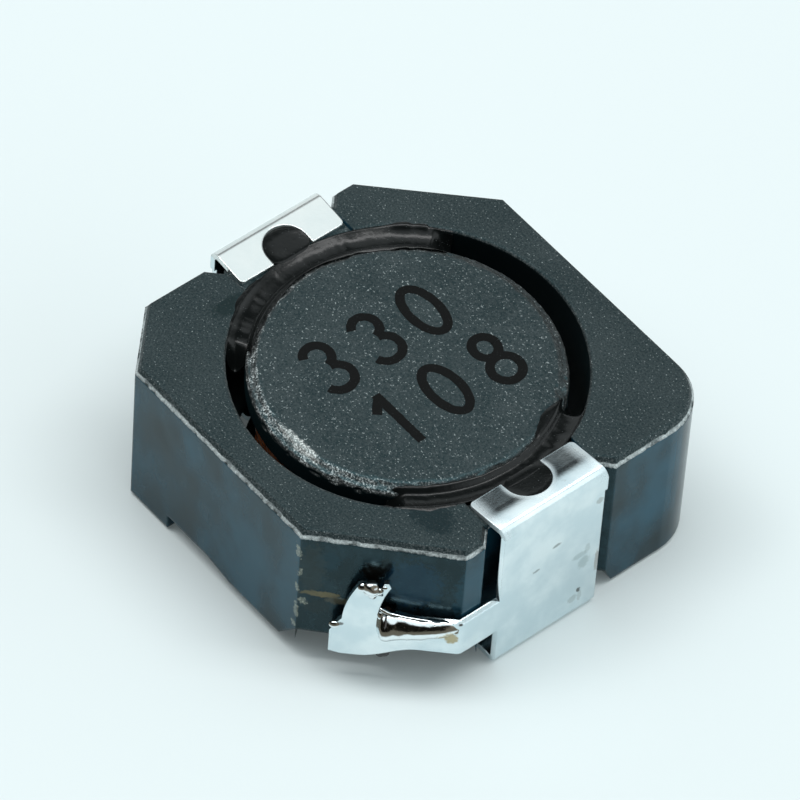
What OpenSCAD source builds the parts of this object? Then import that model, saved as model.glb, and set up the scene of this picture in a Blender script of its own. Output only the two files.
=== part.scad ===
// Shielded surface-mount power inductor: a ferrite drum wound with enamelled wire, standing in a square
// ferrite ring, with two folded tinned terminals that grip the ring and carry the wire's ends.
// Origin: centre of the footprint in the solder-pad plane. +Z up, terminals on +X and -X.

/* [Ring core] */
// Length of the ring, across the two terminal sides
ring_x = 10.0; // [9.6:0.1:11]
// Width of the ring
ring_y = 9.9; // [9.6:0.1:11]
// Height of the ring's top face above the pad plane
ring_top = 4.45; // [4.2:0.05:5.2]
// Height of the ring's feet above the pad plane
ring_foot = 0.1; // [0.05:0.01:0.14]
// Diameter of the ring's bore
bore_d = 8.2; // [8.1:0.05:8.4]
// Size of the two large chamfers that carry the terminals' ears
ear_chamfer = 2.5; // [2.1:0.05:2.7]
// Extra length of the front chamfer along its long side
chamfer_skew = 0.2; // [0:0.05:0.4]
// Size of the small chamfer
small_chamfer = 1.4; // [0.6:0.1:2]
// Radius of the rounded corner
corner_r = 1.4; // [0.5:0.1:1.8]
// Width of the bevel along the outer top edge
top_bevel = 0.1; // [0.05:0.01:0.2]
// Height of that bevel
bevel_h = 0.2; // [0.1:0.01:0.3]
// Flat land at the foot of every pressed bevel
edge_land = 0.02; // [0.01:0.01:0.06]
// Edge break at the top of the bore
bore_break = 0.05; // [0.02:0.01:0.1]

/* [Ring recesses] */
// Clearance between a terminal's edges and the recess beside it
recess_gap = 0.05; // [0.02:0.01:0.1]
// Depth of the recess behind each side plate
recess_depth = 0.4; // [0.2:0.05:0.5]
// Flare at the mouth of each recess
recess_flare = 0.35; // [0.1:0.05:0.4]
// Height of the underside notch beside each pad
pad_notch_h = 0.45; // [0.2:0.05:0.8]
// Reach of that notch past the recess, each side
pad_notch_side = 0.5; // [0.2:0.05:0.7]
// Height of the shallow notch in each long side's foot
side_notch_h = 0.4; // [0.2:0.05:0.7]
// Length of that notch
side_notch_l = 1.8; // [1:0.1:2.4]
// Offset of that notch from the middle of the side
side_notch_x = 1.35; // [1:0.05:1.6]
// Depth of that notch
side_notch_d = 0.5; // [0.2:0.05:0.6]
// Height of the lower stretch between that notch and the wire exit
side_step_h = 0.23; // [0.1:0.01:0.3]
// Length of the slopes at that stretch's ends
side_slope_l = 0.8; // [0.4:0.1:1]
// Height of the wire exits under the large chamfers
exit_h = 0.9; // [0.65:0.05:1]
// Width of the wire exits
exit_w = 4.2; // [2.8:0.1:4.4]
// Offset of the wire exits towards the side plates
exit_shift = 0.15; // [0:0.05:0.3]

/* [Drum core] */
// Diameter of the drum's flanges
drum_d = 7.3; // [7:0.05:7.4]
// Depth of the drum's top face below the ring's top face
drum_sink = 0.02; // [0:0.01:0.2]
// Height of the drum's bottom face above the ring's feet
drum_lift = 0.1; // [0.05:0.01:0.3]
// Thickness of the top flange
flange_top = 0.75; // [0.6:0.05:1]
// Thickness of the bottom flange
flange_bottom = 0.7; // [0.6:0.05:0.8]
// Diameter of the post
post_d = 4.0; // [3.2:0.1:4.6]
// Bevel along the flanges' rims
rim_bevel = 0.17; // [0.05:0.01:0.25]

/* [Winding] */
// Diameter of the enamelled wire
wire_d = 0.3; // [0.22:0.01:0.32]
// Gap between neighbouring turns and layers
wire_gap = 0.03; // [0.02:0.01:0.05]
// Height at which the wire's ends leave the bore
wire_exit_z = 0.5; // [0.35:0.01:0.55]
// Straight pieces in each turn
turn_steps = 16; // [16:4:24]

/* [Terminals] */
// Thickness of the terminal strip
strip_t = 0.15; // [0.1:0.01:0.2]
// Width of the terminal strip
strip_w = 3.0; // [2.6:0.05:3.2]
// Clearance between the side plate and the ring's side
plate_gap = 0.05; // [0.02:0.01:0.15]
// Inner radius of the folds
fold_r = 0.08; // [0.05:0.01:0.12]
// Length of the front terminal's top flap, from the outer face
flap_l = 1.28; // [1:0.02:1.5]
// Length of the rear terminal's top flap
rear_flap_l = 1.12; // [1:0.02:1.3]
// Slope of the top flaps, down towards the drum
flap_tilt = 8; // [4:1:10]
// Length of the solder pad, from the outer face
pad_l = 1.6; // [1.2:0.05:2]
// Diameter of the half-round notch in the flap
notch_d = 1.14; // [0.8:0.02:1.4]
// Depth of that notch from the flap's free edge
notch_l = 0.8; // [0.6:0.02:0.9]
// Radius of the flap's and the pad's free corners
tip_r = 0.12; // [0.05:0.01:0.2]
// Amount by which the side plate is narrower below its shoulder
plate_waist = 0.07; // [0:0.01:0.12]

/* [Ears] */
// Height of the ear's lower edge at its root
ear_z = 1.2; // [0.9:0.05:1.4]
// Width of the ear at its root
ear_w = 1.05; // [1:0.05:1.4]
// Clearance between the ear and the ring's chamfer
ear_gap = 0.1; // [0.05:0.01:0.2]
// Distance from the chamfer's middle to the ear's free end
ear_reach = 1.1; // [0.8:0.05:1.4]
// Drop of the ear's lower edge towards its free end
ear_drop = 0.4; // [0.1:0.05:0.5]
// Height to which the forked tab rises
tab_top = 3.3; // [2.9:0.05:3.7]
// Width of the tab at its base
tab_w = 0.8; // [0.5:0.05:0.9]
// Sideways lean of the tab over its height
tab_lean = 0.3; // [0:0.05:0.5]
// Width of the slot in the tab's fork
fork_w = 0.16; // [0.08:0.02:0.2]
// Depth of that slot
fork_l = 0.3; // [0.15:0.05:0.5]

/* [Solder and epoxy] */
// Largest radius of the solder bead on each ear
bead_r = 0.42; // [0.3:0.02:0.5]
// Radius of the bead's thin end, next to the side plate
bead_tip_r = 0.18; // [0.12:0.02:0.28]
// Radius of the solder lump in the fork
lump_r = 0.2; // [0.15:0.01:0.26]
// Angle that each epoxy fillet fills, seen from above
epoxy_angle = 88; // [60:2:100]
// Depth of the epoxy in the gap
epoxy_depth = 0.7; // [0.3:0.05:0.75]
// Sink of the epoxy's surface at its lowest, in the middle of the gap
epoxy_sag = 0.06; // [0.02:0.01:0.12]
// Depth of the epoxy's surface below the flap in the flap's notch
notch_sink = 0.05; // [0.02:0.01:0.1]

/* [Hidden] */
$fn = 96;

far = 12;                 // longer than any cut has to be
wire_sides = 6;           // sides of the wire's cross-section
bend_steps = 5;           // straight pieces in a quarter bend of the wire
curve_steps = 8;          // straight pieces in a curved edge of the ear

hx = ring_x / 2;
hy = ring_y / 2;
bore_r = bore_d / 2;

// Terminal, seen along Y: outer and inner face of the side plate, top of the flap, outer fold radius
plate_out = hx + plate_gap + strip_t;
plate_in = plate_out - strip_t;
clip_top = ring_top + strip_t;
fold_out = fold_r + strip_t;
pad_edge = plate_out - pad_l;
recess_half = strip_w / 2 + recess_gap;

// Chamfer frame: x is the distance out from the part's axis, y runs along the chamfer towards the side plate
chamfer_n = (hx + hy - ear_chamfer) / sqrt(2);
ear_out = chamfer_n + ear_gap + strip_t;
ear_corner_y = plate_out - ear_out * sqrt(2);
ear_tangent = fold_out * tan(22.5);
ear_bend_y = ear_corner_y + ear_tangent;
ear_root_u = (plate_out + ear_corner_y) / sqrt(2) - ear_tangent;
ear_top = ear_z + ear_w;
hook_z = ear_top - 0.24 * ear_w;  // floor of the hook beside the tab, over which the wire is bent
tab_base_z = ear_z + 0.81 * ear_w;
tab_base_u = -0.4 * ear_reach;
tab_right = tab_base_u + tab_w / 2;

// Drum core
drum_r = drum_d / 2;
post_r = post_d / 2;
drum_bottom = ring_foot + drum_lift;
drum_top = ring_top - drum_sink;
window_low = drum_bottom + flange_bottom;
window_high = drum_top - flange_top;

// Winding: as many turns and pairs of layers as the window holds
wire_r = wire_d / 2;
pitch = wire_d + wire_gap;
lead_z = window_low + wire_gap + wire_r;
turns = floor((window_high - wire_gap - wire_r - lead_z - pitch) / pitch);
layers = 2 * floor((drum_r - post_r - 2 * wire_gap) / pitch / 2);
gap_r = (drum_r + bore_r) / 2;
step_a = 360 / turn_steps;
layer0_r = (post_r + wire_gap + wire_r) / cos(step_a / 2);

// Ring core ---------------------------------------------------------------------------------------

// Corners of the ring's outline before its rounded corner, anticlockwise from the front chamfer
long_leg = ear_chamfer + chamfer_skew;
ring_outline = [
    [hx, ear_chamfer - hy], [hx, hy], [ear_chamfer - hx, hy], [-hx, hy - ear_chamfer],
    [-hx, small_chamfer - hy], [small_chamfer - hx, -hy], [hx - long_leg, -hy]
];

// Takes the bevel and its land off the top edge that runs from a to b, with the solid on its left
module edge_cut(a, b, before = far, after = far)
    translate([a.x, a.y, ring_top])
        rotate([0, 0, atan2(b.y - a.y, b.x - a.x)])
            translate([-before, 0, 0])
                rotate([90, 0, 90])
                    linear_extrude(norm(b - a) + before + after)
                        polygon([[-1, -bevel_h], [edge_land, -bevel_h], [edge_land + top_bevel, 0],
                                 [edge_land + top_bevel, 1], [-1, 1]]);

// Takes away what lies outside the rounded corner, which keeps the same bevel and land
module corner_cut()
    translate([hx - corner_r, hy - corner_r, 0])
        difference() {
            translate([0, 0, -1])
                cube([corner_r + 1, corner_r + 1, ring_top + 2]);
            rotate_extrude()
                polygon([[0, -2], [corner_r, -2], [corner_r, ring_top - bevel_h],
                         [corner_r - edge_land, ring_top - bevel_h],
                         [corner_r - edge_land - top_bevel, ring_top], [0, ring_top]]);
        }

// Space above a plane that lies along the sloped flap, at the given distance from the fold's axis
module above_flap(level)
    translate([plate_out - fold_out, recess_half, clip_top - fold_out])
        rotate([90, 0, 0])
            linear_extrude(2 * recess_half)
                rotate(flap_tilt)
                    translate([-2 * flap_l, level]) square([2 * flap_l, 1]);

// Recess behind one side plate, with a flared mouth, a seat for the flap and room for the pad
module terminal_recess() {
    mouth = recess_half + recess_flare;
    translate([0, 0, -1])
        linear_extrude(ring_top + 2)
            polygon([[hx - recess_depth, -recess_half], [hx - recess_flare, -recess_half],
                     [hx + 1, -mouth - 1], [hx + 1, mouth + 1],
                     [hx - recess_flare, recess_half], [hx - recess_depth, recess_half]]);
    edge_cut([hx, -mouth], [hx - recess_flare, -recess_half], 0.2, 0);
    edge_cut([hx - recess_flare, recess_half], [hx, mouth], 0, 0.2);
    notch_half = recess_half + pad_notch_side;
    notch_z = ring_foot + pad_notch_h;
    translate([hx - recess_depth - 0.2, 0, 0])
        rotate([90, 0, 90])
            linear_extrude(far)
                polygon([[-notch_half - 0.1, -1], [notch_half + 0.1, -1], [notch_half + 0.1, 0],
                         [notch_half - 0.15, notch_z], [0.15 - notch_half, notch_z],
                         [-notch_half - 0.1, 0]]);
    translate([pad_edge - recess_gap, -recess_half, -1])
        cube([far, 2 * recess_half, strip_t + 1]);
    above_flap(fold_r);
}

// Shallow notch in the foot of one long side, and the lower stretch that runs on to the wire exit
module side_notch() {
    notch_end = side_notch_l / 2 - side_notch_x;
    step_end = hx - long_leg;
    translate([0, side_notch_d - hy, ring_foot])
        rotate([90, 0, 0])
            linear_extrude(far)
                polygon([[-side_notch_x - side_notch_l / 2, -1], [step_end, -1], [step_end, exit_h],
                         [step_end - 0.7 * side_slope_l, side_step_h],
                         [notch_end + side_slope_l / 2, side_step_h],
                         [notch_end - side_slope_l / 2, side_notch_h],
                         [-side_notch_x - side_notch_l / 2, side_notch_h]]);
}

// Opening under one large chamfer, through which the wire leaves the bore
module wire_exit()
    rotate([0, 0, -45])
        translate([post_r, exit_shift, ring_foot])
            rotate([90, 0, 90])
                linear_extrude(far)
                    polygon([[-exit_w / 2, -1], [exit_w / 2, -1], [exit_w / 2, 0], [0.47 * exit_w, exit_h],
                             [-0.47 * exit_w, exit_h], [-exit_w / 2, 0]]);

// Groove in that chamfer for the wire's rise behind the ear
module wire_groove()
    rotate([0, 0, -45])
        translate([rise_n, wire_u, ring_foot + exit_h / 2]) {
            groove_r = wire_r + wire_gap;
            groove_h = wire_top + groove_r - ring_foot - exit_h / 2;
            cylinder(h = groove_h, r = groove_r);
            translate([0, -groove_r, 0]) cube([1, 2 * groove_r, groove_h]);
        }

module ring_core() color([0.17, 0.19, 0.21])
    difference() {
        translate([0, 0, ring_foot])
            linear_extrude(ring_top - ring_foot)
                polygon(ring_outline);
        for (i = [0 : len(ring_outline) - 1])
            edge_cut(ring_outline[i], ring_outline[(i + 1) % len(ring_outline)]);
        corner_cut();
        translate([0, 0, -1])
            cylinder(h = ring_top + 2, r = bore_r);
        translate([0, 0, ring_top - bore_break])
            cylinder(h = 2 * bore_break, r1 = bore_r, r2 = bore_r + 2 * bore_break);
        for (turn = [0, 180])
            rotate([0, 0, turn]) {
                terminal_recess();
                side_notch();
                wire_exit();
                wire_groove();
            }
    }

// Drum core ---------------------------------------------------------------------------------------

module drum_body()
    rotate_extrude()
        polygon([[0, drum_bottom], [drum_r - edge_land - rim_bevel, drum_bottom],
                 [drum_r - edge_land, drum_bottom + rim_bevel], [drum_r, drum_bottom + rim_bevel],
                 [drum_r, window_low], [post_r, window_low], [post_r, window_high], [drum_r, window_high],
                 [drum_r, drum_top - rim_bevel], [drum_r - edge_land, drum_top - rim_bevel],
                 [drum_r - edge_land - rim_bevel, drum_top], [0, drum_top]]);

module drum_core() color([0.21, 0.23, 0.25])
    drum_body();

// Winding -----------------------------------------------------------------------------------------

// Each end leaves under the ring, climbs a groove behind the ear, bends over the ear's hook and ends
// in the solder on its outer face
wire_slack = 0.01;                    // clearance of the wire from the ear
rise_n = ear_out - strip_t - wire_slack - wire_r;
hook_r = wire_r + wire_slack + strip_t / 2;
wire_u = tab_right + wire_gap + wire_slack + wire_r;
hook_inner = hook_r * cos(45 / bend_steps) - wire_r;   // inside of the bend, which clears the strip's corners
wire_top = hook_z + wire_slack / 2 - sqrt(hook_inner * hook_inner - strip_t * strip_t / 4) + hook_r;
wire_bend = 0.8 * wire_d;             // radius of the bend at the groove's foot
wire_tail = wire_r;                   // straight length that hangs down inside the solder
exit_a = 17;                          // angle from the chamfer's normal at which it leaves the gap
rise_a = 35;                          // angle over which it changes height in the gap
cross_a = 45;                         // angle over which its inner end crosses to the post
leave_a = 20;                         // angle over which its outer end moves out to the gap

function unit(v) = v / norm(v);
function polar(r, a, z) = [r * cos(a), r * sin(a), z];
function blend(a, b, t) = a + (b - a) * t;

// From the chamfer frame to the part's frame, for the front chamfer (side 1) or the rear one (side -1)
function from_chamfer(p, side) = [side * (p.x + p.y) / sqrt(2), side * (p.y - p.x) / sqrt(2), p.z];

// One end in the chamfer frame: it arrives along the flat direction way, bends up, climbs and hooks over
function ear_end(way) = concat(
    [for (k = [0 : bend_steps]) let (t = 90 * k / bend_steps)
        [rise_n, wire_u, wire_exit_z] + wire_bend * (way * (sin(t) - 1) + [0, 0, 1 - cos(t)])],
    [for (k = [0 : 2 * bend_steps]) let (t = 90 * k / bend_steps)
        [rise_n + hook_r * (1 - cos(t)), wire_u, wire_top + hook_r * (sin(t) - 1)]],
    [[rise_n + 2 * hook_r, wire_u, wire_top - hook_r - wire_tail]]
);

// One whole layer of turns, up or down, and the quarter turn that steps out to the next layer
function layer_z(k) = k % 2 == 0 ? lead_z + pitch : lead_z + pitch + turns * pitch;
function layer(k) = let (
        n = k == 0 ? (turns + 1) * turn_steps : turns * turn_steps - turn_steps / 4,
        z0 = k == 0 ? lead_z : layer_z(k), z1 = layer_z(k + 1),
        a0 = start_a + (k == 0 ? 0 : 90), r = layer0_r + k * pitch)
    [for (i = [0 : n]) polar(r, a0 + i * step_a, blend(z0, z1, i / n))];
function step_out(k) = [for (i = [1 : turn_steps / 4 - 1])
    polar(layer0_r + (k + 4 * i / turn_steps) * pitch, start_a + i * step_a, layer_z(k + 1))];

in_a = 135 + exit_a;
start_a = in_a + rise_a + cross_a;
out_a = start_a + leave_a;
foot = [rise_n, wire_u, wire_exit_z];
in_way = unit(foot - polar(gap_r, exit_a, wire_exit_z));
out_way = unit(foot - polar(gap_r, -exit_a, wire_exit_z));
inner_end = [for (p = ear_end(in_way)) from_chamfer(p, -1)];
outer_end = [for (p = ear_end(out_way)) from_chamfer(p, 1)];
flat_steps = 5;
wire_path = concat(
    [for (i = [len(inner_end) - 1 : -1 : 0]) inner_end[i]],
    [for (i = [0 : flat_steps]) polar(gap_r, in_a + rise_a * i / flat_steps,
                                      blend(wire_exit_z, lead_z, i / flat_steps))],
    [for (i = [1 : flat_steps - 1]) polar(blend(gap_r, layer0_r, i / flat_steps),
                                          in_a + rise_a + cross_a * i / flat_steps, lead_z)],
    [for (k = [0 : layers - 1]) each concat(layer(k), k < layers - 1 ? step_out(k) : [])],
    [for (i = [1 : flat_steps - 1]) polar(blend(layer0_r + (layers - 1) * pitch, gap_r, i / flat_steps),
        start_a + leave_a * i / flat_steps, lead_z + pitch)],
    [for (i = [0 : flat_steps]) polar(gap_r, blend(out_a, 315 - exit_a, i / flat_steps),
        blend(lead_z + pitch, wire_exit_z, i / flat_steps))],
    outer_end
);

// A closed tube along a path: the cross-section is carried along without twist
function tangent(p, i) = unit(p[min(i + 1, len(p) - 1)] - p[max(i - 1, 0)]);
function carry(n, t) = unit(n - (n * t) * t);
module tube(p, r, sides) {
    last = len(p) - 1;
    side_n = [for (i = 0, n = carry([0.3, 0.2, 1], tangent(p, 0)); i <= last;
        i = i + 1, n = carry(n, tangent(p, min(i, last)))) n];
    points = [for (i = [0 : last]) let (t = tangent(p, i), n = side_n[i], b = cross(t, n))
        for (j = [0 : sides - 1]) p[i] + r * (cos(360 * j / sides) * n + sin(360 * j / sides) * b)];
    faces = concat(
        [for (i = [0 : last - 1]) for (j = [0 : sides - 1]) let (k = (j + 1) % sides)
            each [[i * sides + j, (i + 1) * sides + j, i * sides + k],
                  [i * sides + k, (i + 1) * sides + j, (i + 1) * sides + k]]],
        [for (j = [1 : sides - 2]) [0, j, j + 1]],
        [for (j = [1 : sides - 2]) [last * sides, last * sides + j + 1, last * sides + j]]
    );
    polyhedron(points, faces);
}

module winding() color([0.62, 0.3, 0.13])
    tube(wire_path, wire_r, wire_sides);

// Terminals ---------------------------------------------------------------------------------------

// A fold seen along Y, from the side plate's direction to the flap's
module fold_section(tilt)
    intersection() {
        difference() {
            circle(fold_out);
            circle(fold_r);
        }
        polygon([[0, 0], [far, 0], [far, far], far * [-sin(tilt), cos(tilt)]]);
    }

// The strip seen along Y: flap, upper fold, side plate, lower fold and pad
module strip_section(flap) {
    run = (flap - fold_out * (1 + sin(flap_tilt))) / cos(flap_tilt);
    translate([plate_out - fold_out, clip_top - fold_out]) {
        fold_section(flap_tilt);
        rotate(flap_tilt) translate([-run, fold_r]) square([run, strip_t]);
    }
    translate([plate_in, fold_out]) square([strip_t, clip_top - 2 * fold_out]);
    translate([plate_out - fold_out, fold_out]) rotate(-90) fold_section(0);
    translate([pad_edge, 0]) square([pad_l - fold_out, strip_t]);
}

// Rounds the two free corners of a flap whose edge lies at x = edge
module tip_cut(edge, z)
    for (side = [-1, 1])
        translate([edge, side * strip_w / 2, z])
            difference() {
                translate([-1, side > 0 ? -tip_r : -1, 0]) cube([1 + tip_r, 1 + tip_r, 4 * strip_t]);
                translate([tip_r, -side * tip_r, -1]) cylinder(h = 2, r = tip_r);
            }

// The ear's flat part in the chamfer frame, seen from outside: along the chamfer, and up
drop_from = 0.82 * ear_reach;
drop_to = -0.41 * ear_reach;
tab_tip_w = 0.88 * tab_w;
tab_rise = tab_top - tab_base_z;
hook_right = wire_u + wire_r + 2 * wire_gap;
function tab_u(t) = tab_base_u + tab_lean * t * t;
function tab_half(t) = blend(tab_w, tab_tip_w, t) / 2;
slot_u = tab_u(1) + tab_w / 8;
ear_outline = concat(
    [[ear_root_u, ear_z]],
    [for (k = [0 : curve_steps]) let (t = k / curve_steps)
        [blend(drop_from, drop_to, t), ear_z - ear_drop * (1 - cos(180 * t)) / 2]],
    [[-0.77 * ear_reach, ear_z - ear_drop], [-ear_reach, ear_z - ear_drop + strip_t / 2],
     [-ear_reach, tab_base_z - 0.43 * ear_w]],
    [for (k = [0 : curve_steps]) let (t = k / curve_steps)
        [tab_u(t) - tab_half(t), tab_base_z + tab_rise * t]],
    [[slot_u - fork_w / 2, tab_top], [slot_u - fork_w / 2, tab_top - fork_l],
     [slot_u + fork_w / 2, tab_top - fork_l], [slot_u + fork_w / 2, tab_top + fork_w * 0.6]],
    [[tab_u(1) + 0.86 * tab_half(1), tab_top + fork_w * 0.75]],
    [for (k = [curve_steps : -1 : 0]) let (t = k / curve_steps)
        [tab_u(t) + tab_half(t), tab_base_z + tab_rise * t]],
    [[tab_right, hook_z], [hook_right, hook_z], [hook_right + strip_t, ear_top], [ear_root_u, ear_top]]
);

module ear() {
    translate([plate_in, ear_bend_y, ear_z])
        cube([strip_t, strip_w / 2 - tip_r + abs(ear_bend_y + strip_w / 2), ear_w]);
    translate([plate_out - fold_out, ear_bend_y, ear_z])
        rotate([0, 0, -45])
            rotate_extrude(angle = 45)
                translate([fold_r, 0]) square([strip_t, ear_w]);
    rotate([0, 0, -45])
        translate([ear_out - strip_t, 0, 0])
            rotate([90, 0, 90])
                linear_extrude(strip_t)
                    polygon(ear_outline);
}

module terminal(flap) {
    flap_edge = plate_out - flap;
    difference() {
        translate([0, strip_w / 2, 0])
            rotate([90, 0, 0])
                linear_extrude(strip_w)
                    strip_section(flap);
        translate([flap_edge + notch_l - notch_d / 2, 0, ring_top - 1]) {
            cylinder(h = far, d = notch_d);
            translate([-far, -notch_d / 2, 0]) cube([far, notch_d, far]);
        }
        tip_cut(flap_edge, clip_top - 4 * strip_t);
        tip_cut(pad_edge, -strip_t);
        translate([plate_in - 1, strip_w / 2 - plate_waist, -1])
            cube([far, far, ring_top - 3 * strip_t + 1]);
    }
    ear();
}

module terminal_front() color([0.8, 0.83, 0.84]) terminal(flap_l);
module terminal_rear() color([0.8, 0.83, 0.84]) rotate([0, 0, 180]) terminal(rear_flap_l);

// Solder ------------------------------------------------------------------------------------------

solder_clear = 0.02;      // the solder stops this far from the ferrite

// A bead that runs along the ear's upper edge and thins towards the side plate
module bead_body() {
    from = [ear_out - strip_t / 3, tab_right + bead_r - solder_clear, ear_top - 0.7 * bead_r];
    to = [from.x, ear_root_u - bead_tip_r, ear_top - 0.95 * bead_tip_r];
    translate(from) sphere(bead_r);
    translate(from)
        rotate([-atan2(to.y - from.y, to.z - from.z), 0, 0])
            cylinder(h = norm(to - from), r1 = bead_r, r2 = bead_tip_r);
    translate(to) sphere(bead_tip_r);
}

// What the wire takes up inside the bead
module wire_room() {
    room_r = wire_r + wire_slack / 2;
    translate([rise_n, wire_u, ear_z]) cylinder(h = wire_top - hook_r - ear_z, r = room_r);
    translate([rise_n + hook_r, wire_u, wire_top - hook_r])
        rotate([90, 0, 0])
            rotate_extrude(angle = 180)
                translate([hook_r, 0]) circle(room_r);
    translate([rise_n + 2 * hook_r, wire_u, wire_top - hook_r - wire_tail])
        cylinder(h = wire_tail, r = room_r);
}

module solder()
    difference() {
        rotate([0, 0, -45])
            difference() {
                union() {
                    bead_body();
                    translate([ear_out - lump_r / 5, slot_u - fork_w, tab_top - lump_r / 2]) sphere(lump_r);
                }
                wire_room();
                translate([0, -far, 0]) cube([chamfer_n + solder_clear, 2 * far, far]);
            }
        ear();
    }

module solder_front() color([0.86, 0.87, 0.86]) solder();
module solder_rear() color([0.86, 0.87, 0.86]) rotate([0, 0, 180]) solder();

// Epoxy -------------------------------------------------------------------------------------------

// Section of the fillet in the gap: it wets the drum's bevel and the bore's edge, and sags between them
module epoxy_section() {
    inner = [drum_r - edge_land - rim_bevel, drum_top];
    outer = [bore_r + bore_break, ring_top];
    chord = norm(outer - inner);
    sag_r = (chord * chord / 4 + epoxy_sag * epoxy_sag) / (2 * epoxy_sag);
    middle = (inner + outer) / 2;
    across = unit(outer - inner);
    difference() {
        polygon([[drum_r, ring_top - epoxy_depth], [bore_r, ring_top - epoxy_depth],
                 [bore_r, ring_top - bore_break], outer, inner,
                 [drum_r - edge_land, drum_top - rim_bevel], [drum_r, drum_top - rim_bevel]]);
        translate(middle + (sag_r - epoxy_sag) * [-across.y, across.x]) circle(sag_r, $fn = 256);
    }
}

// The drop that fills the notch in a flap, down to the ring's seat and the fillet below it
module notch_drop(flap) {
    notch_c = plate_out - flap + notch_l - notch_d / 2;
    drop_z = ring_top - 2 * strip_t;
    difference() {
        translate([0, 0, drop_z]) {
            translate([notch_c, 0, 0]) cylinder(h = clip_top - drop_z, d = notch_d);
            translate([gap_r, -notch_d / 2, 0]) cube([notch_c - gap_r, notch_d, clip_top - drop_z]);
        }
        difference() {
            rotate_extrude()
                polygon([[bore_r, 0], [far, 0], [far, ring_top], [bore_r, ring_top]]);
            above_flap(fold_r);
        }
        above_flap(fold_out - notch_sink);
        drum_body();
    }
}

// The fillet beside one terminal, which wets the flap's edge, and the drop in its notch
module core_epoxy(flap)
    difference() {
        union() {
            rotate([0, 0, -epoxy_angle / 2])
                rotate_extrude(angle = epoxy_angle)
                    epoxy_section();
            notch_drop(flap);
        }
        terminal(flap);
    }

module core_epoxy_front() color([0.05, 0.05, 0.06]) core_epoxy(flap_l);
module core_epoxy_rear() color([0.05, 0.05, 0.06]) rotate([0, 0, 180]) core_epoxy(rear_flap_l);

ring_core();
drum_core();
winding();
terminal_front();
terminal_rear();
solder_front();
solder_rear();
core_epoxy_front();
core_epoxy_rear();
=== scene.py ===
import math

import bpy
import numpy as np
from mathutils import Matrix, Quaternion, Vector


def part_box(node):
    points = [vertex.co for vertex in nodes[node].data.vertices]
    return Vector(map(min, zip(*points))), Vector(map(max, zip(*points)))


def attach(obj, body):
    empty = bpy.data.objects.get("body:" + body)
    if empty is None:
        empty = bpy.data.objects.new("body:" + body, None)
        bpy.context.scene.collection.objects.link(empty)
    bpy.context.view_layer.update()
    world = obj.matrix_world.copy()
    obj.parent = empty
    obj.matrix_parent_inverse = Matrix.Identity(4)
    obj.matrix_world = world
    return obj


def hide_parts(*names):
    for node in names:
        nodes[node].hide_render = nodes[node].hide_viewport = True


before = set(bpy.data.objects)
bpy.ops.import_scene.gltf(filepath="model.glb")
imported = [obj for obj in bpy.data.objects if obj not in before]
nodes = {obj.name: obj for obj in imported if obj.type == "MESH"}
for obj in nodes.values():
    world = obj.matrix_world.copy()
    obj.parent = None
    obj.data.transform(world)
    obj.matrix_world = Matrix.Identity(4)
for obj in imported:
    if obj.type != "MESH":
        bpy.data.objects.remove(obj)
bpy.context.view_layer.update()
scene = bpy.context.scene
mm = 0.001
print("frame loaded:", len(nodes), "nodes")


class Field:
    # a value that varies over a surface; Python's operators add the Math nodes
    def __init__(self, graph, socket):
        self.graph = graph
        self.socket = socket

    def math(self, operation, *others, flipped=False):
        values = [self, *others]
        if flipped:
            values = values[::-1]
        return self.graph.node("ShaderNodeMath", {"operation": operation}, dict(enumerate(values)))

    def __add__(self, other):
        return self.math("ADD", other)

    def __sub__(self, other):
        return self.math("SUBTRACT", other)

    def __mul__(self, other):
        return self.math("MULTIPLY", other)

    def __truediv__(self, other):
        return self.math("DIVIDE", other)

    def __radd__(self, other):
        return self.math("ADD", other, flipped=True)

    def __rsub__(self, other):
        return self.math("SUBTRACT", other, flipped=True)

    def __rmul__(self, other):
        return self.math("MULTIPLY", other, flipped=True)

    def __rtruediv__(self, other):
        return self.math("DIVIDE", other, flipped=True)

    def power(self, exponent):
        return self.math("POWER", exponent)

    def least(self, other):
        return self.math("MINIMUM", other)

    def most(self, other):
        return self.math("MAXIMUM", other)

    def step(self, low, high):
        # 0 below low, 1 above high and a smooth rise between them; falls where low is the larger
        rising = low < high
        settings = {"interpolation_type": "SMOOTHSTEP"}
        inputs = {"Value": self, "From Min": min(low, high), "From Max": max(low, high),
                  "To Min": 0.0 if rising else 1.0, "To Max": 1.0 if rising else 0.0}
        return self.graph.node("ShaderNodeMapRange", settings, inputs)


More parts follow.
